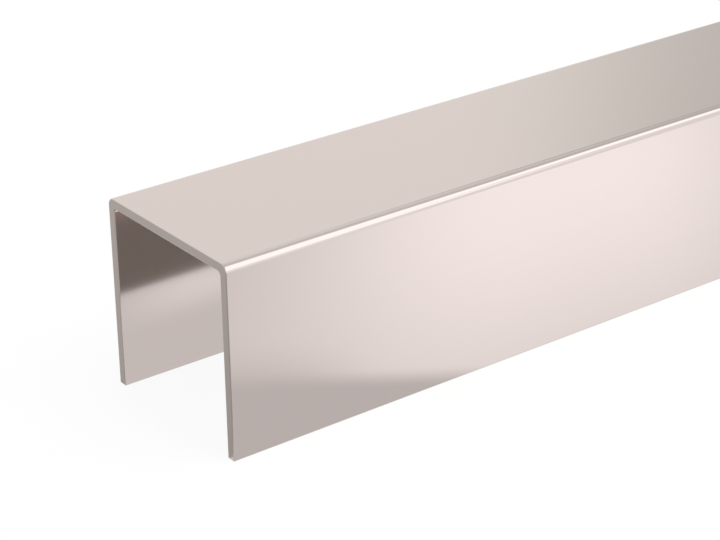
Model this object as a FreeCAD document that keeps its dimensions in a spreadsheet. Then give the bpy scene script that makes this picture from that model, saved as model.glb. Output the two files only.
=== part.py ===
import FreeCAD, Part
import math
import os
import Sketcher

# A stock length of folded stainless steel U-channel: one thin sheet bent twice, so that a flat
# web joins two equal legs. It lies open side down, on the edges of its legs. All sizes are in
# millimetres. +X runs along the length, +Y across the web and +Z up. The origin is on the
# surface that the legs stand on, at the middle of the length and of the width.

NODE = "u_channel"

SIZES = {
    "stock_length": 1000.0,
    "overall_width": 40.0,
    "overall_height": 40.0,
    "sheet_thickness": 2.0,
    "outer_bend_radius": 1.75,
    "inner_bend_radius": 0.85,
    "edge_break": 0.2,
}

# A sketch's own numbers for the two ends of a line or arc, and for its origin and upright axis.
START, END = 1, 2
UPRIGHT_AXIS = -2
ORIGIN_POINT = (-1, 1)

# How near an edge has to lie to a plane to count as lying in it.
ON_PLANE = 1e-6


def add_size_sheet(document):
    """The driving sizes, each in a cell of its own with an alias."""
    sheet = document.addObject("Spreadsheet::Sheet", "sizes")
    for row, (alias, value) in enumerate(SIZES.items(), start=1):
        sheet.set(f"A{row}", alias)
        sheet.set(f"B{row}", str(value))
        sheet.setAlias(f"B{row}", alias)
    document.recompute()
    return sheet


def origin_plane(body, role):
    """The body's own origin plane with this role."""
    return next(plane for plane in body.Origin.OriginFeatures if plane.Role == role)


def line(start, end):
    return Part.LineSegment(FreeCAD.Vector(*start), FreeCAD.Vector(*end))


def bend(centre, radius, first_angle):
    """The quarter circle that starts at first_angle and turns anticlockwise."""
    circle = Part.Circle(FreeCAD.Vector(*centre), FreeCAD.Vector(0, 0, 1), radius)
    return Part.ArcOfCircle(circle, first_angle, first_angle + math.pi / 2)


def section_outline(sheet):
    """The U section's lines and arcs by name, in order round the outline.

    A point is (across the web, up). The outline runs up the front leg's outer face, over the
    web, down the back leg and back along the inner faces.
    """
    outer_side = sheet.overall_width / 2
    outer_top = sheet.overall_height
    inner_side = outer_side - sheet.sheet_thickness
    inner_top = outer_top - sheet.sheet_thickness
    outer_bend_side = outer_side - sheet.outer_bend_radius
    outer_bend_base = outer_top - sheet.outer_bend_radius
    inner_bend_side = inner_side - sheet.inner_bend_radius
    inner_bend_base = inner_top - sheet.inner_bend_radius
    rightward, upward = 0, math.pi / 2
    return {
        "front_leg_outer": line((-outer_side, 0), (-outer_side, outer_bend_base)),
        "front_bend_outer": bend(
            (-outer_bend_side, outer_bend_base), sheet.outer_bend_radius, upward
        ),
        "web_outer": line((-outer_bend_side, outer_top), (outer_bend_side, outer_top)),
        "back_bend_outer": bend(
            (outer_bend_side, outer_bend_base), sheet.outer_bend_radius, rightward
        ),
        "back_leg_outer": line((outer_side, outer_bend_base), (outer_side, 0)),
        "back_leg_edge": line((outer_side, 0), (inner_side, 0)),
        "back_leg_inner": line((inner_side, 0), (inner_side, inner_bend_base)),
        "back_bend_inner": bend(
            (inner_bend_side, inner_bend_base), sheet.inner_bend_radius, rightward
        ),
        "web_inner": line((inner_bend_side, inner_top), (-inner_bend_side, inner_top)),
        "front_bend_inner": bend(
            (-inner_bend_side, inner_bend_base), sheet.inner_bend_radius, upward
        ),
        "front_leg_inner": line((-inner_side, inner_bend_base), (-inner_side, 0)),
        "front_leg_edge": line((-inner_side, 0), (-outer_side, 0)),
    }


def constrain_section(sketch, number, sheet):
    """Tie the outline together and bind its sizes to the sheet.

    number gives each line's or arc's number in the sketch by its name.
    """

    def tie(kind, *where):
        return sketch.addConstraint(Sketcher.Constraint(kind, *where))

    def size(kind, label, alias, *where):
        index = tie(kind, *where, sheet.getPropertyByName(alias))
        sketch.renameConstraint(index, label)
        sketch.setExpression(f"Constraints.{label}", f"sizes.{alias}")

    for before, corner, after in (
        ("front_leg_outer", "front_bend_outer", "web_outer"),
        ("web_outer", "back_bend_outer", "back_leg_outer"),
        ("back_leg_inner", "back_bend_inner", "web_inner"),
        ("web_inner", "front_bend_inner", "front_leg_inner"),
    ):
        # The outer face is drawn clockwise and the inner one anticlockwise, while an arc is
        # always anticlockwise, so the arc's far end meets the line that comes before an outer
        # bend, and its near end the line that comes before an inner one.
        outer = corner.endswith("outer")
        tie("Tangent", number[before], END, number[corner], END if outer else START)
        tie("Tangent", number[after], START, number[corner], START if outer else END)
    for before, after in (
        ("back_leg_outer", "back_leg_edge"),
        ("back_leg_edge", "back_leg_inner"),
        ("front_leg_inner", "front_leg_edge"),
        ("front_leg_edge", "front_leg_outer"),
    ):
        tie("Coincident", number[before], END, number[after], START)
    for upright in ("front_leg_outer", "front_leg_inner", "back_leg_outer", "back_leg_inner"):
        tie("Vertical", number[upright])
    for level in ("web_outer", "web_inner", "front_leg_edge", "back_leg_edge"):
        tie("Horizontal", number[level])

    front_foot = (number["front_leg_outer"], START)
    back_foot = (number["back_leg_outer"], END)
    tie("Symmetric", *front_foot, *back_foot, UPRIGHT_AXIS)
    tie("PointOnObject", *front_foot, ORIGIN_POINT[0])
    tie("Equal", number["front_leg_edge"], number["back_leg_edge"])
    tie("Equal", number["front_bend_outer"], number["back_bend_outer"])
    tie("Equal", number["front_bend_inner"], number["back_bend_inner"])

    size("DistanceX", "across_legs", "overall_width", *front_foot, *back_foot)
    size("DistanceY", "up_to_web", "overall_height", *front_foot, number["web_outer"], START)
    size(
        "DistanceX", "leg_wall", "sheet_thickness",
        number["front_leg_edge"], END, number["front_leg_edge"], START,
    )
    size(
        "DistanceY", "web_wall", "sheet_thickness",
        number["web_inner"], END, number["web_outer"], START,
    )
    size("Radius", "outer_bend", "outer_bend_radius", number["front_bend_outer"])
    size("Radius", "inner_bend", "inner_bend_radius", number["front_bend_inner"])


def add_section(body, sheet):
    """The U section, drawn across the length and fully tied to the sheet."""
    sketch = body.newObject("Sketcher::SketchObject", "section")
    sketch.AttachmentSupport = [(origin_plane(body, "YZ_Plane"), "")]
    sketch.MapMode = "FlatFace"
    outline = section_outline(sheet)
    number = {name: sketch.addGeometry(geometry, False) for name, geometry in outline.items()}
    constrain_section(sketch, number, sheet)
    return sketch


def add_run(body, section):
    """The section carried along the length, half of it each way from the origin."""
    run = body.newObject("PartDesign::Pad", "run")
    run.Profile = section
    run.SideType = "Symmetric"
    run.setExpression("Length", "sizes.stock_length")
    return run


def broken_edges(shape, half_length):
    """The names of the sharp edges that are broken: both sawn ends' and the leg edges'."""
    names = []
    for number, edge in enumerate(shape.Edges, start=1):
        box = edge.BoundBox
        at_an_end = box.XLength < ON_PLANE and abs(abs(box.Center.x) - half_length) < ON_PLANE
        under_a_leg = box.ZMax < ON_PLANE
        if at_an_end or under_a_leg:
            names.append(f"Edge{number}")
    return names


def add_edge_break(body, run, sheet):
    """The small round that deburring leaves on the sharp edges."""
    edge_break = body.newObject("PartDesign::Fillet", "deburred_edges")
    edge_break.Base = (run, broken_edges(run.Shape, sheet.stock_length / 2))
    edge_break.setExpression("Radius", "sizes.edge_break")
    return edge_break


def build_channel(document, sheet):
    body = document.addObject("PartDesign::Body", NODE)
    body.Label = NODE
    body.Placement = FreeCAD.Placement()
    section = add_section(body, sheet)
    run = add_run(body, section)
    document.recompute()
    add_edge_break(body, run, sheet)
    document.recompute()
    return body, section


def check_model(document, body, section):
    """Stop before anything is written if a feature failed or the solid isn't a true one."""
    failed = [item.Label for item in document.Objects if {"Invalid", "Error"} & set(item.State)]
    if failed:
        raise RuntimeError(f"failed features: {failed}")
    if not section.FullyConstrained:
        raise RuntimeError("the section isn't fully constrained")
    if body.Shape.isNull() or not body.Shape.isValid() or len(body.Shape.Solids) != 1:
        raise RuntimeError(f"{body.Label} isn't one valid solid")


def main():
    document = FreeCAD.newDocument("stainless_u_channel")
    sheet = add_size_sheet(document)
    body, section = build_channel(document, sheet)
    check_model(document, body, section)
    os.makedirs("parts", exist_ok=True)
    body.Shape.exportStep(f"parts/{body.Label}.step")
    box = body.Shape.optimalBoundingBox(False, False)
    print(f"{body.Label}: {box.XLength:.3f} x {box.YLength:.3f} x {box.ZLength:.3f} mm")
    print(f"volume {body.Shape.Volume:.1f} mm3")


main()
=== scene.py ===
import math

import bmesh
import bpy
from bpy.props import FloatProperty, FloatVectorProperty, IntProperty, PointerProperty
from mathutils import Matrix, Vector


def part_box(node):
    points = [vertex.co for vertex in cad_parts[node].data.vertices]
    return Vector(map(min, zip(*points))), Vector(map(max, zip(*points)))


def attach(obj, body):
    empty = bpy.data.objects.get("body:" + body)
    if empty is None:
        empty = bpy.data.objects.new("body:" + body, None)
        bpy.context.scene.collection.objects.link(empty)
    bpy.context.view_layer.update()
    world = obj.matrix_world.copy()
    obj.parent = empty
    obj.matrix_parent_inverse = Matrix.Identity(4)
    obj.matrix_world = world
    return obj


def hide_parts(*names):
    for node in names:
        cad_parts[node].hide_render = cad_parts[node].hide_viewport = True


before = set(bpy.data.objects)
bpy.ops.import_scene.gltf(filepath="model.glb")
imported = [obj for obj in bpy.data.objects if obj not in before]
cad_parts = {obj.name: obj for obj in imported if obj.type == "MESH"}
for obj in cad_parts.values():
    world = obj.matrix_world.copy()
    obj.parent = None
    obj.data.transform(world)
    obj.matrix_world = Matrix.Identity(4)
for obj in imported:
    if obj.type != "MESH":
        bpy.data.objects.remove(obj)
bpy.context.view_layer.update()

bl_info = {
    "name": "Folded Stainless U-channel",
    "version": (1, 0, 0),
    "blender": (4, 5, 0),
    "location": "3D View > Sidebar > U-channel",
    "description": "Builds a stock length of folded stainless steel U-channel and its studio",
    "category": "Object",
}

# Everything is in metres, in the row's frame: +X along the length, +Y across the web, +Z up.
MM = 0.001
NODE = "u_channel"
BODY = "root"
LOW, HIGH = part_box(NODE)

# Two skin points nearer than this are one point.
SAME_PLACE = 1e-8

# The noise levels between which the polish goes from its clearest to its softest.
CLOUD_LOW, CLOUD_HIGH = 0.3, 0.7

# How much of the edge break, from the end, already has the sawn finish.
SAWN_EDGE_SHARE = 0.1

# The camera's sensor width in millimetres, and the nearest that it sees in metres.
SENSOR_WIDTH = 36.0
CLIP_START = 0.01


def linear(hex_colour, alpha=1.0):
    """An sRGB hex colour such as "#DDD1CD" as linear red, green, blue and alpha."""
    channels = [int(hex_colour[i:i + 2], 16) / 255 for i in (1, 3, 5)]
    return [c / 12.92 if c <= 0.04045 else ((c + 0.055) / 1.055) ** 2.4 for c in channels] + [alpha]


def add_node(tree, kind, settings=None, **inputs):
    """Add a node, with settings as its properties and inputs as its sockets by name.

    A socket's value is a number, a vector, or the output socket of another node. Where several
    sockets share a name, the keyword is in_ and the socket's number.
    """
    node = tree.nodes.new(kind)
    for name, value in (settings or {}).items():
        setattr(node, name, value)
    for name, value in inputs.items():
        key = int(name[3:]) if name.startswith("in_") else name.replace("_", " ")
        socket = node.inputs[key]
        if isinstance(value, bpy.types.NodeSocket):
            tree.links.new(value, socket)
        else:
            socket.default_value = value
    return node


def empty_material(name):
    """A new material and its node tree, with no nodes in it."""
    material = bpy.data.materials.new(name)
    material.use_nodes = True
    material.node_tree.nodes.clear()
    return material, material.node_tree


def flat_sheet(name, corners, material):
    """An object of one flat face with its corners at the given places across and along."""
    sheet = bmesh.new()
    sheet.faces.new([sheet.verts.new((x, y, 0.0)) for x, y in corners])
    mesh = bpy.data.meshes.new(name)
    sheet.to_mesh(mesh)
    sheet.free()
    mesh.materials.append(material)
    return bpy.data.objects.new(name, mesh)


# ---------------------------------------------------------------------------------------------
# Sizes and colours that a user would change
# ---------------------------------------------------------------------------------------------


class ChannelSizes(bpy.types.PropertyGroup):
    """The folded sheet. Its overall size is the frame's."""

    sheet_thickness: FloatProperty(
        name="Sheet thickness", description="Thickness of the folded sheet",
        default=2.0 * MM, min=0.0001, unit="LENGTH",
    )
    outer_bend_radius: FloatProperty(
        name="Outer bend radius", description="Radius on the outside of each bend",
        default=1.75 * MM, min=0.0001, unit="LENGTH",
    )
    inner_bend_radius: FloatProperty(
        name="Inner bend radius", description="Radius on the inside of each bend",
        default=0.85 * MM, min=0.0001, unit="LENGTH",
    )
    edge_break: FloatProperty(
        name="Edge break", description="Radius that deburring leaves on the cut edges",
        default=0.2 * MM, min=0.00001, unit="LENGTH",
    )
    bend_steps: IntProperty(
        name="Bend steps", description="Faces round each quarter bend", default=28, min=4, max=96,
    )
    edge_steps: IntProperty(
        name="Edge steps", description="Faces round each broken edge", default=5, min=2, max=24,
    )


class FinishSettings(bpy.types.PropertyGroup):
    """The satin surface of the stainless steel."""

    steel_colour: FloatVectorProperty(
        name="Steel colour", description="Colour that the steel gives to what it reflects",
        subtype="COLOR", size=4, min=0.0, max=1.0, default=linear("#DDD1CD"),
    )
    grain_width: FloatProperty(
        name="Grain width", description="Distance between the fine lengthwise grain lines",
        default=0.35 * MM, min=0.00001, unit="LENGTH",
    )
    grain_length: FloatProperty(
        name="Grain length", description="Length of one fine grain line",
        default=25.0 * MM, min=0.0001, unit="LENGTH",
    )
    grain_depth: FloatProperty(
        name="Grain depth", description="Height of the grain lines over their valleys",
        default=0.0002 * MM, min=0.0, unit="LENGTH",
    )
    grain_colour: FloatVectorProperty(
        name="Grain colour", description="Colour of the grain's valleys",
        subtype="COLOR", size=4, min=0.0, max=1.0, default=linear("#DACECA"),
    )
    cloud_size: FloatProperty(
        name="Cloud size", description="Distance between softer and clearer patches of the polish",
        default=60.0 * MM, min=0.001, unit="LENGTH",
    )
    roughness: FloatProperty(
        name="Roughness", description="How soft the rolled faces' reflections are",
        default=0.1, min=0.0, max=1.0, subtype="FACTOR",
    )
    roughness_change: FloatProperty(
        name="Roughness change", description="How much the polish's patches differ from it",
        default=0.01, min=0.0, max=1.0, subtype="FACTOR",
    )
    cut_roughness: FloatProperty(
        name="Cut roughness", description="How soft the cut ends' reflections are",
        default=0.3, min=0.0, max=1.0, subtype="FACTOR",
    )
    saw_mark_length: FloatProperty(
        name="Saw mark length", description="Length of one mark across a cut end",
        default=6.0 * MM, min=0.0001, unit="LENGTH",
    )
    saw_mark_width: FloatProperty(
        name="Saw mark width", description="Distance between the marks across a cut end",
        default=0.25 * MM, min=0.00001, unit="LENGTH",
    )


class StudioSettings(bpy.types.PropertyGroup):
    """The floor, the light and the camera. The camera's place is from the near end's lower corner."""

    floor_size: FloatProperty(
        name="Floor size", description="Side of the square floor", default=60.0, unit="LENGTH",
    )
    floor_glow: FloatProperty(
        name="Floor glow", description="Share of the floor's white that no shadow takes away",
        default=0.93, min=0.0, max=1.0, subtype="FACTOR",
    )
    card_overhang: FloatProperty(
        name="Card overhang", description="How far the cards reach past each end",
        default=600.0 * MM, unit="LENGTH",
    )
    card_gap: FloatProperty(
        name="Card gap", description="Gap between each card and the front leg",
        default=0.2 * MM, unit="LENGTH",
    )
    card_lift: FloatProperty(
        name="Card lift", description="Height of the front card over the floor",
        default=0.05 * MM, unit="LENGTH",
    )
    # The front card glows with a painted reflection of the floor in front; its level and patches are
    # painted light and painted shade.
    front_card_width: FloatProperty(
        name="Front card width", description="How far the front card reaches out",
        default=400.0 * MM, unit="LENGTH",
    )
    front_card_level: FloatProperty(
        name="Front card level", description="Level of the front card outside its patches",
        default=0.84, min=0.0,
    )
    # The inner card glows with a painted reflection of the floor under the channel; its level is
    # painted shade and its patch a painted glow.
    inner_card_width: FloatProperty(
        name="Inner card width", description="How far the inner card hangs down",
        default=30.0 * MM, unit="LENGTH",
    )
    inner_card_inset: FloatProperty(
        name="Inner card inset", description="Where the inner card hangs, in from the front leg",
        default=2.0 * MM, unit="LENGTH",
    )
    inner_card_level: FloatProperty(
        name="Inner card level", description="Level of the inner card outside its patches",
        default=0.77, min=0.0,
    )
    fill_level: FloatProperty(
        name="Fill level", description="Level of the even light on the floor",
        default=0.6, min=0.0,
    )
    key_strength: FloatProperty(
        name="Key strength", description="Strength of the soft sun on the floor", default=2.0, min=0.0,
    )
    key_softness: FloatProperty(
        name="Key softness", description="Width of the sun in the sky",
        default=math.radians(40), unit="ROTATION",
    )
    key_tilt: FloatProperty(
        name="Key tilt", description="Tilt of the sun from overhead",
        default=math.radians(30), unit="ROTATION",
    )
    key_turn: FloatProperty(
        name="Key turn", description="Turn of the sun about the vertical",
        default=math.radians(30), unit="ROTATION",
    )
    camera_lens: FloatProperty(
        name="Lens", description="Focal length in millimetres on a 36 mm wide sensor", default=113.19,
    )
    camera_offset: FloatVectorProperty(
        name="Camera offset", description="Camera's place from the near end's lower front corner",
        subtype="TRANSLATION", default=(-197.60 * MM, -305.64 * MM, 209.86 * MM),
    )
    camera_heading: FloatProperty(
        name="Heading", description="Turn of the view from +Y towards +X",
        default=math.radians(36.63), unit="ROTATION",
    )
    camera_depression: FloatProperty(
        name="Depression", description="How far the view looks down from level",
        default=math.radians(25.22), unit="ROTATION",
    )
    camera_roll: FloatProperty(
        name="Roll", description="Turn of the camera about its own view line",
        default=math.radians(-0.89), unit="ROTATION",
    )


# ---------------------------------------------------------------------------------------------
# The channel
# ---------------------------------------------------------------------------------------------


def arc(centre, radius, first_degrees, last_degrees, steps, hollow=False):
    """Points round an arc, each with the direction that its surface faces.

    hollow is for the inside of a bend, where the surface faces the arc's centre.
    """
    points = []
    for step in range(steps + 1):
        angle = math.radians(first_degrees + (last_degrees - first_degrees) * step / steps)
        outward = Vector((math.cos(angle), math.sin(angle)))
        points.append((Vector(centre) + radius * outward, -outward if hollow else outward))
    return points


def section_outline(sizes, width, height):
    """The U section as (point, facing direction) pairs, each (across, up), clockwise.

    It starts at the front leg's lower outer corner, goes up and over the web, down to the back
    leg's edge and back round the inside. Flats lie between one arc's end and the next's start.
    """
    wall = sizes.sheet_thickness
    outer, inner, tip = sizes.outer_bend_radius, sizes.inner_bend_radius, sizes.edge_break
    bend, corner = sizes.bend_steps, sizes.edge_steps
    side = width / 2
    outline = []
    outline += arc((tip - side, tip), tip, 270, 180, corner)
    outline += arc((outer - side, height - outer), outer, 180, 90, bend)
    outline += arc((side - outer, height - outer), outer, 90, 0, bend)
    outline += arc((side - tip, tip), tip, 0, -90, corner)
    outline += arc((side - wall + tip, tip), tip, 270, 180, corner)
    hollow_side = side - wall - inner
    hollow_top = height - wall - inner
    outline += arc((hollow_side, hollow_top), inner, 0, 90, bend, hollow=True)
    outline += arc((-hollow_side, hollow_top), inner, 90, 180, bend, hollow=True)
    outline += arc((wall - side - tip, tip), tip, 0, -90, corner)
    return outline


def length_stations(sizes, low, high):
    """Each ring's place along the length, how far it is drawn in, and how far it faces the end.

    The rings close up round the broken edge of one cut end, cross the length and open again.
    """
    tip = sizes.edge_break
    quarter = [math.pi / 2 * step / sizes.edge_steps for step in range(sizes.edge_steps + 1)]
    near = [(low + tip * (1 - math.cos(a)), tip * (1 - math.sin(a)), -math.cos(a)) for a in quarter]
    far = [(high + low - place, drawn_in, -facing) for place, drawn_in, facing in reversed(near)]
    return near + far


def add_ring(skin, normals, outline, middle, floor_level, station):
    """One ring of the skin. Points that fall together at the end's corners share a vertex."""
    place, drawn_in, facing = station
    spread = math.sqrt(1 - facing * facing)
    ring = []
    for point, outward in outline:
        across, up = point - drawn_in * outward
        at = Vector((place, middle + across, floor_level + up))
        if ring and (ring[-1].co - at).length < SAME_PLACE:
            ring.append(ring[-1])
            continue
        ring.append(skin.verts.new(at))
        normals.append(Vector((facing, spread * outward.x, spread * outward.y)))
    return ring


def channel_mesh(sizes, low, high):
    """A closed skin of the channel that fills its box, with the true surface normals."""
    outline = section_outline(sizes, high.y - low.y, high.z - low.z)
    middle = (low.y + high.y) / 2
    skin = bmesh.new()
    normals = []
    rings = [
        add_ring(skin, normals, outline, middle, low.z, station)
        for station in length_stations(sizes, low.x, high.x)
    ]
    for ring, following in zip(rings, rings[1:]):
        for i in range(len(outline)):
            j = (i + 1) % len(outline)
            corners = dict.fromkeys((ring[i], following[i], following[j], ring[j]))
            if len(corners) > 2:
                skin.faces.new(corners)
    skin.faces.new(dict.fromkeys(rings[0]))
    skin.faces.new(dict.fromkeys(reversed(rings[-1])))
    for face in skin.faces:
        face.smooth = True
    mesh = bpy.data.meshes.new(NODE)
    skin.to_mesh(mesh)
    skin.free()
    mesh.normals_split_custom_set_from_vertices(normals)
    return mesh


def satin_stainless(finish, low, high, edge_break):
    """Cold-rolled stainless steel sheet with a fine satin grain along the length.

    The eye gets soft but clear reflections with a slightly warm cast, a grain that only shows
    close up, and cut ends that are a little rougher than the rolled faces.
    """
    material, tree = empty_material("satin_stainless_sheet")
    place = add_node(tree, "ShaderNodeTexCoord").outputs["Object"]

    # Satin grain: long thin lines that run with the length, on the web as on the legs. A real
    # satin grain, about a tenth of a millimetre wide, is too fine to show, so it is drawn coarser.
    stretched = add_node(
        tree, "ShaderNodeMapping", in_0=place,
        Scale=(1 / finish.grain_length, 1 / finish.grain_width, 1 / finish.grain_width),
    )
    grain = add_node(
        tree, "ShaderNodeTexNoise", in_0=stretched.outputs[0], Scale=1.0, Detail=3.0, Roughness=0.6,
    ).outputs["Fac"]

    # Slow cloud: the rolled sheet's polish is a little uneven over a hand's width.
    cloud_scale = add_node(
        tree, "ShaderNodeMapping", in_0=place, Scale=[1 / finish.cloud_size] * 3,
    )
    cloud = add_node(
        tree, "ShaderNodeTexNoise", in_0=cloud_scale.outputs[0], Scale=1.0, Detail=2.0,
    ).outputs["Fac"]

    # Cut ends: 1 on the sawn faces at both ends of the length, 0 on the rolled faces.
    along = add_node(tree, "ShaderNodeSeparateXYZ", in_0=place).outputs["X"]
    middle = (low.x + high.x) / 2
    from_middle = add_node(
        tree, "ShaderNodeMath", {"operation": "SUBTRACT"}, in_0=along, in_1=middle,
    )
    reach = add_node(tree, "ShaderNodeMath", {"operation": "ABSOLUTE"}, in_0=from_middle.outputs[0])
    half = (high.x - low.x) / 2
    cut = add_node(
        tree, "ShaderNodeMapRange", {"interpolation_type": "SMOOTHSTEP"}, Value=reach.outputs[0],
        From_Min=half - edge_break, From_Max=half - edge_break * SAWN_EDGE_SHARE,
    ).outputs[0]
    saw = add_node(
        tree, "ShaderNodeMapping", in_0=place,
        Scale=(0.0, 1 / finish.saw_mark_length, 1 / finish.saw_mark_width),
    )
    saw_marks = add_node(
        tree, "ShaderNodeTexNoise", in_0=saw.outputs[0], Scale=1.0, Detail=2.0,
    ).outputs["Fac"]
    texture = add_node(
        tree, "ShaderNodeMix", {"data_type": "FLOAT"}, in_0=cut, in_2=grain, in_3=saw_marks,
    ).outputs[0]

    rolled_roughness = add_node(
        tree, "ShaderNodeMapRange", Value=cloud, From_Min=CLOUD_LOW, From_Max=CLOUD_HIGH,
        To_Min=finish.roughness - finish.roughness_change,
        To_Max=finish.roughness + finish.roughness_change,
    ).outputs[0]
    roughness = add_node(
        tree, "ShaderNodeMix", {"data_type": "FLOAT"}, in_0=cut, in_2=rolled_roughness,
        in_3=finish.cut_roughness,
    ).outputs[0]
    colour = add_node(
        tree, "ShaderNodeMix", {"data_type": "RGBA"}, in_0=texture,
        in_6=finish.steel_colour, in_7=finish.grain_colour,
    ).outputs[2]
    bump = add_node(
        tree, "ShaderNodeBump", Strength=1.0, Distance=finish.grain_depth, Height=texture,
    ).outputs[0]
    steel = add_node(
        tree, "ShaderNodeBsdfPrincipled", Base_Color=colour, Metallic=1.0, Roughness=roughness,
        Normal=bump,
    )
    add_node(tree, "ShaderNodeOutputMaterial", Surface=steel.outputs[0])
    return material


class CHANNEL_OT_build(bpy.types.Operator):
    """Build the folded sheet, give it its satin finish and put it in the frame"""

    bl_idname = "channel.build"
    bl_label = "Build U-channel"

    def execute(self, context):
        sizes = context.scene.channel_sizes
        finish = context.scene.channel_finish
        mesh = channel_mesh(sizes, LOW, HIGH)
        mesh.materials.append(satin_stainless(finish, LOW, HIGH, sizes.edge_break))
        piece = bpy.data.objects.new("folded_channel", mesh)
        context.scene.collection.objects.link(piece)
        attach(piece, BODY)
        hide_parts(NODE)
        return {"FINISHED"}


# ---------------------------------------------------------------------------------------------
# The studio
# ---------------------------------------------------------------------------------------------


def soft_edge(tree, value, middle, half_width, softness):
    """1 where value is within half_width of middle, fading to 0 over softness outside it."""
    away = add_node(tree, "ShaderNodeMath", {"operation": "SUBTRACT"}, in_0=value, in_1=middle)
    distance = add_node(tree, "ShaderNodeMath", {"operation": "ABSOLUTE"}, in_0=away.outputs[0])
    return add_node(
        tree, "ShaderNodeMapRange", {"interpolation_type": "SMOOTHSTEP"}, Value=distance.outputs[0],
        From_Min=half_width, From_Max=half_width + softness, To_Min=1.0, To_Max=0.0,
    ).outputs[0]


# What the steel mirrors of the room: soft panels, each laid over the ones before it. Heading is
# in degrees from -Y, the front, towards +X, and height in degrees above level.
# Each row: name, level, heading, half width, its softness, height, half height, its softness.
PANELS = (
    ("dim room below", 0.58, 0, 180, 1, -45, 45, 2),
    ("unlit corner below, left", 0.10, -110, 20, 50, -50, 14, 16),
    ("unlit floor behind, right", 0.28, 140, 26, 20, -31, 10, 5),
    ("glow on the floor behind", 1.15, 180, 14, 8, -40, 8, 4),
    ("lit floor in front", 0.84, 30, 70, 30, -45, 45, 6),
    ("room above", 0.75, 0, 180, 1, 45, 45, 1),
    ("room above, right", 0.63, 90, 35, 20, 28, 20, 6),
    ("wall behind", 0.945, 185, 44, 8, 18, 22, 12),
    ("upper wall behind", 0.93, 180, 65, 10, 54, 9, 4),
    ("wall in front", 1.0, 25, 80, 20, 0, 14, 2),
    ("pale end of the wall in front", 1.13, 0, 31, 7, 0, 14, 2),
    ("softbox over the front", 1.5, 19, 37, 8, 31.5, 19, 2.5),
    ("low right end of the softbox", 1.5, 58, 9, 6, 36, 9, 3),
    ("wall in front, right", 0.98, 75, 32, 6, 10, 14, 6),
)

# What it mirrors of the two glowing cards: soft patches of painted light and painted shade, a painted
# reflection of the floor, each laid over the ones before it.
# Places and sizes are in millimetres from the near end of the card's edge, turned about it.
# Each row: name, level, turn in degrees, along, half length, its softness, across, half width,
# its softness.
FRONT_PAINTED_LIGHT_AND_SHADE = (
    ("even light along the length", 1.05, 0, 700, 400, 140, -200, 400, 50),
    ("pool by the near end", 1.27, 38.5, 68, 12, 76, -150, 400, 50),
    ("dimmer strip by the channel", 0.78, 0, 0, 3000, 10, 75, 0, 139),
    ("floor beyond the pool", 1.0, 0, 0, 3000, 10, -523, 400, 8),
    ("rim of the shade", 0.74, 33.9, 0, 5, 28, 5, 29, 26),
    ("unlit floor past the near end", 0.38, 0, -400, 390, 10, -200, 400, 50),
    ("shade at the near end", 0.665, 33.9, 50, 50, 10, 5.2, 31.5, 9),
)
INNER_PAINTED_GLOW = (
    ("glow under the front leg", 0.97, 0, 400, 358, 30, 0, 3, 8),
)


# The room behind the channel, this far each side of straight behind, is a little warmer.
BEHIND_WIDTH = 60
BEHIND_SOFT = 20
BEHIND_COLOUR = "#FFFFFB"


def studio_reflection(tree):
    """The level that the steel mirrors in each direction, and how far behind that direction is."""
    direction = add_node(tree, "ShaderNodeTexCoord").outputs["Generated"]
    x, y, z = add_node(tree, "ShaderNodeSeparateXYZ", in_0=direction).outputs
    front = add_node(tree, "ShaderNodeMath", {"operation": "MULTIPLY"}, in_0=y, in_1=-1.0)
    turn = add_node(tree, "ShaderNodeMath", {"operation": "ARCTAN2"}, in_0=x, in_1=front.outputs[0])
    height = add_node(tree, "ShaderNodeMath", {"operation": "ARCSINE"}, in_0=z).outputs[0]
    level = 0.0
    for name, panel_level, heading, half_width, side_soft, up, half_height, top_soft in PANELS:
        # The heading is counted from the panel's own middle, so that it never wraps inside one.
        offset = add_node(
            tree, "ShaderNodeMath", {"operation": "SUBTRACT"}, in_0=turn.outputs[0],
            in_1=math.radians(heading),
        )
        wrapped = add_node(
            tree, "ShaderNodeMath", {"operation": "WRAP"}, in_0=offset.outputs[0],
            in_1=math.pi, in_2=-math.pi,
        ).outputs[0]
        across = soft_edge(tree, wrapped, 0.0, math.radians(half_width), math.radians(side_soft))
        upright = soft_edge(
            tree, height, math.radians(up), math.radians(half_height), math.radians(top_soft),
        )
        cover = add_node(
            tree, "ShaderNodeMath", {"operation": "MULTIPLY", "label": name}, in_0=across, in_1=upright,
        )
        level = add_node(
            tree, "ShaderNodeMix", {"data_type": "FLOAT"}, in_0=cover.outputs[0], in_2=level,
            in_3=panel_level,
        ).outputs[0]
    from_front = add_node(tree, "ShaderNodeMath", {"operation": "ABSOLUTE"}, in_0=turn.outputs[0])
    behind = soft_edge(
        tree, from_front.outputs[0], math.pi, math.radians(BEHIND_WIDTH), math.radians(BEHIND_SOFT),
    )
    return level, behind


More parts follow.
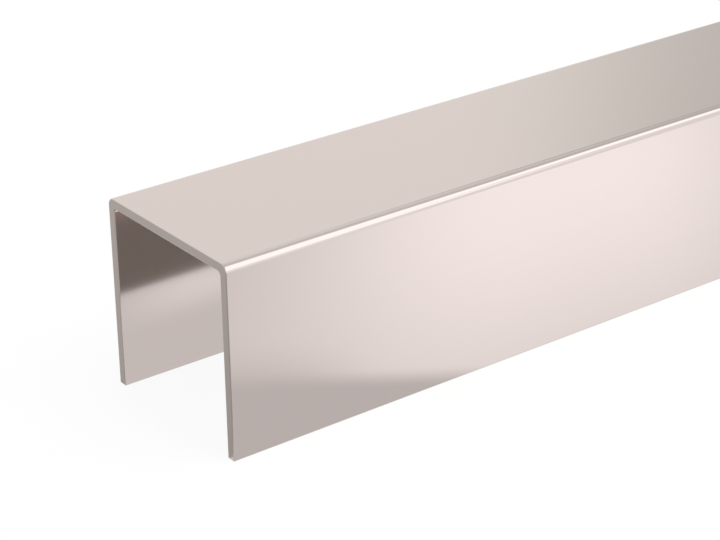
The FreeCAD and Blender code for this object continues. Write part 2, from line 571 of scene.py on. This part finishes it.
def painted_reflection_card(studio, name, origin, tilt, width, level, patches):
    """A glowing card along the channel, which only the steel sees: a painted reflection of the floor,
    with painted light and painted shade in patches.
    """
    left = -studio.card_overhang
    right = HIGH.x - LOW.x + studio.card_overhang
    material, tree = empty_material(name)
    place = add_node(tree, "ShaderNodeTexCoord").outputs["Object"]
    for (patch, patch_level, turn, along, half_along, along_soft, across, half_across,
            across_soft) in patches:
        turned = add_node(
            tree, "ShaderNodeMapping", {"vector_type": "TEXTURE"}, in_0=place,
            Rotation=(0.0, 0.0, math.radians(turn)), Scale=(MM, MM, MM),
        )
        x, y, _ = add_node(tree, "ShaderNodeSeparateXYZ", in_0=turned.outputs[0]).outputs
        cover = add_node(
            tree, "ShaderNodeMath", {"operation": "MULTIPLY", "label": patch},
            in_0=soft_edge(tree, x, along, half_along, along_soft),
            in_1=soft_edge(tree, y, across, half_across, across_soft),
        ).outputs[0]
        level = add_node(
            tree, "ShaderNodeMix", {"data_type": "FLOAT"}, in_0=cover, in_2=level, in_3=patch_level,
        ).outputs[0]
    glow = add_node(tree, "ShaderNodeEmission", Color=linear("#FFFFFF"), Strength=level)
    add_node(tree, "ShaderNodeOutputMaterial", Surface=glow.outputs[0])
    card = flat_sheet(name, ((left, -width), (right, -width), (right, 0.0), (left, 0.0)), material)
    card.location = origin
    card.rotation_euler = (tilt, 0.0, 0.0)
    card.visible_camera = False
    card.visible_diffuse = False
    card.visible_transmission = False
    card.visible_shadow = False
    return card


def front_card(studio):
    """The card that lies in front of the channel, from its front leg outwards. It glows with a painted
    reflection of the floor in front: a painted pool of light and a painted shadow at the near end.
    """
    origin = (LOW.x, LOW.y - studio.card_gap, LOW.z + studio.card_lift)
    return painted_reflection_card(studio, "front_card", origin, 0.0, studio.front_card_width,
                    studio.front_card_level, FRONT_PAINTED_LIGHT_AND_SHADE)


def inner_card(studio):
    """The card that hangs below the front leg, seen from inside through the channel's mouth. It glows
    with painted shade, the floor under the channel as the steel mirrors it, and a painted glow under
    the front leg.
    """
    origin = (LOW.x, LOW.y + studio.inner_card_inset, LOW.z - studio.card_gap)
    return painted_reflection_card(studio, "inner_card", origin, math.radians(90.0), studio.inner_card_width,
                    studio.inner_card_level, INNER_PAINTED_GLOW)


def studio_world(studio):
    """White to the camera, plain light for the floor, and soft panels in the steel."""
    world = bpy.data.worlds.new("pale_studio")
    world.use_nodes = True
    tree = world.node_tree
    tree.nodes.clear()
    ray = add_node(tree, "ShaderNodeLightPath").outputs
    seen_through = add_node(
        tree, "ShaderNodeMath", {"operation": "MAXIMUM"}, in_0=ray["Is Camera Ray"],
        in_1=ray["Is Transmission Ray"],
    ).outputs[0]
    plain = add_node(tree, "ShaderNodeMix", {"data_type": "FLOAT"}, in_0=seen_through,
                     in_2=studio.fill_level, in_3=1.0).outputs[0]
    mirrored = ray["Is Glossy Ray"]
    reflection, behind = studio_reflection(tree)
    level = add_node(tree, "ShaderNodeMix", {"data_type": "FLOAT"}, in_0=mirrored,
                     in_2=plain, in_3=reflection).outputs[0]
    warmth = add_node(tree, "ShaderNodeMath", {"operation": "MULTIPLY"}, in_0=mirrored, in_1=behind)
    colour = add_node(tree, "ShaderNodeMix", {"data_type": "RGBA"}, in_0=warmth.outputs[0],
                      in_6=linear("#FFFFFF"), in_7=linear(BEHIND_COLOUR)).outputs[2]
    background = add_node(tree, "ShaderNodeBackground", Color=colour, Strength=level)
    add_node(tree, "ShaderNodeOutputWorld", Surface=background.outputs[0])
    return world


def studio_floor(studio):
    """A matt white floor that shows only a light shadow, and that the steel doesn't mirror."""
    half = studio.floor_size / 2
    material, tree = empty_material("white_studio_floor")
    ray = add_node(tree, "ShaderNodeLightPath").outputs
    mirrored = add_node(tree, "ShaderNodeMath", {"operation": "MAXIMUM"},
                        in_0=ray["Is Glossy Ray"], in_1=ray["Is Transmission Ray"])
    looked_at = add_node(tree, "ShaderNodeMath", {"operation": "MAXIMUM"},
                         in_0=ray["Is Camera Ray"], in_1=mirrored.outputs[0])
    glow_share = add_node(tree, "ShaderNodeMath", {"operation": "MULTIPLY"},
                          in_0=looked_at.outputs[0], in_1=studio.floor_glow)
    matt = add_node(tree, "ShaderNodeBsdfDiffuse", Color=linear("#F2F2F2"))
    glow = add_node(tree, "ShaderNodeEmission", Color=linear("#FFFFFF"), Strength=1.0)
    both = add_node(tree, "ShaderNodeMixShader", in_0=glow_share.outputs[0],
                    in_1=matt.outputs[0], in_2=glow.outputs[0])
    add_node(tree, "ShaderNodeOutputMaterial", Surface=both.outputs[0])
    corners = ((-half, -half), (half, -half), (half, half), (-half, half))
    floor = flat_sheet("floor", corners, material)
    floor.visible_glossy = False
    return floor


def key_lamp(studio):
    """A broad soft sun that gives the floor its light shadow and stays out of the steel."""
    lamp = bpy.data.lights.new("key", "SUN")
    lamp.energy = studio.key_strength
    lamp.angle = studio.key_softness
    key = bpy.data.objects.new("key", lamp)
    key.rotation_euler = (studio.key_tilt, 0.0, studio.key_turn)
    key.visible_glossy = False
    return key


def studio_camera(studio):
    """The camera that looks down the length from in front of the near end."""
    lens = bpy.data.cameras.new("camera")
    lens.lens = studio.camera_lens
    lens.sensor_width = SENSOR_WIDTH
    lens.clip_start = CLIP_START
    lens.clip_end = studio.floor_size
    camera = bpy.data.objects.new("camera", lens)
    near_corner = Vector((LOW.x, LOW.y, LOW.z))
    turned = Matrix.Rotation(-studio.camera_heading, 4, "Z")
    tilted = Matrix.Rotation(math.pi / 2 - studio.camera_depression, 4, "X")
    rolled = Matrix.Rotation(studio.camera_roll, 4, "Z")
    place = Matrix.Translation(near_corner + Vector(studio.camera_offset))
    camera.matrix_world = place @ turned @ tilted @ rolled
    return camera


class CHANNEL_OT_studio(bpy.types.Operator):
    """Build the floor, the light and the camera round the channel"""

    bl_idname = "channel.studio"
    bl_label = "Build studio"

    def execute(self, context):
        scene = context.scene
        studio = scene.channel_studio
        scene.world = studio_world(studio)
        camera = studio_camera(studio)
        for item in (studio_floor(studio), front_card(studio), inner_card(studio),
                     key_lamp(studio), camera):
            scene.collection.objects.link(item)
        scene.camera = camera
        scene.view_settings.view_transform = "Standard"
        return {"FINISHED"}


class CHANNEL_PT_sidebar(bpy.types.Panel):
    """Sizes, finish and studio of the U-channel"""

    bl_idname = "CHANNEL_PT_sidebar"
    bl_label = "Folded U-channel"
    bl_space_type = "VIEW_3D"
    bl_region_type = "UI"
    bl_category = "U-channel"

    def draw(self, context):
        scene = context.scene
        for group, operator in (
            (scene.channel_sizes, None),
            (scene.channel_finish, CHANNEL_OT_build),
            (scene.channel_studio, CHANNEL_OT_studio),
        ):
            box = self.layout.box()
            for name in group.bl_rna.properties.keys():
                if name not in ("rna_type", "name"):
                    box.prop(group, name)
            if operator:
                box.operator(operator.bl_idname)


CLASSES = (
    ChannelSizes,
    FinishSettings,
    StudioSettings,
    CHANNEL_OT_build,
    CHANNEL_OT_studio,
    CHANNEL_PT_sidebar,
)


def register():
    for item in CLASSES:
        bpy.utils.register_class(item)
    bpy.types.Scene.channel_sizes = PointerProperty(type=ChannelSizes)
    bpy.types.Scene.channel_finish = PointerProperty(type=FinishSettings)
    bpy.types.Scene.channel_studio = PointerProperty(type=StudioSettings)


def unregister():
    del bpy.types.Scene.channel_studio
    del bpy.types.Scene.channel_finish
    del bpy.types.Scene.channel_sizes
    for item in reversed(CLASSES):
        bpy.utils.unregister_class(item)


def main():
    register()
    bpy.ops.channel.studio()
    bpy.ops.channel.build()


if __name__ == "__main__":
    main()
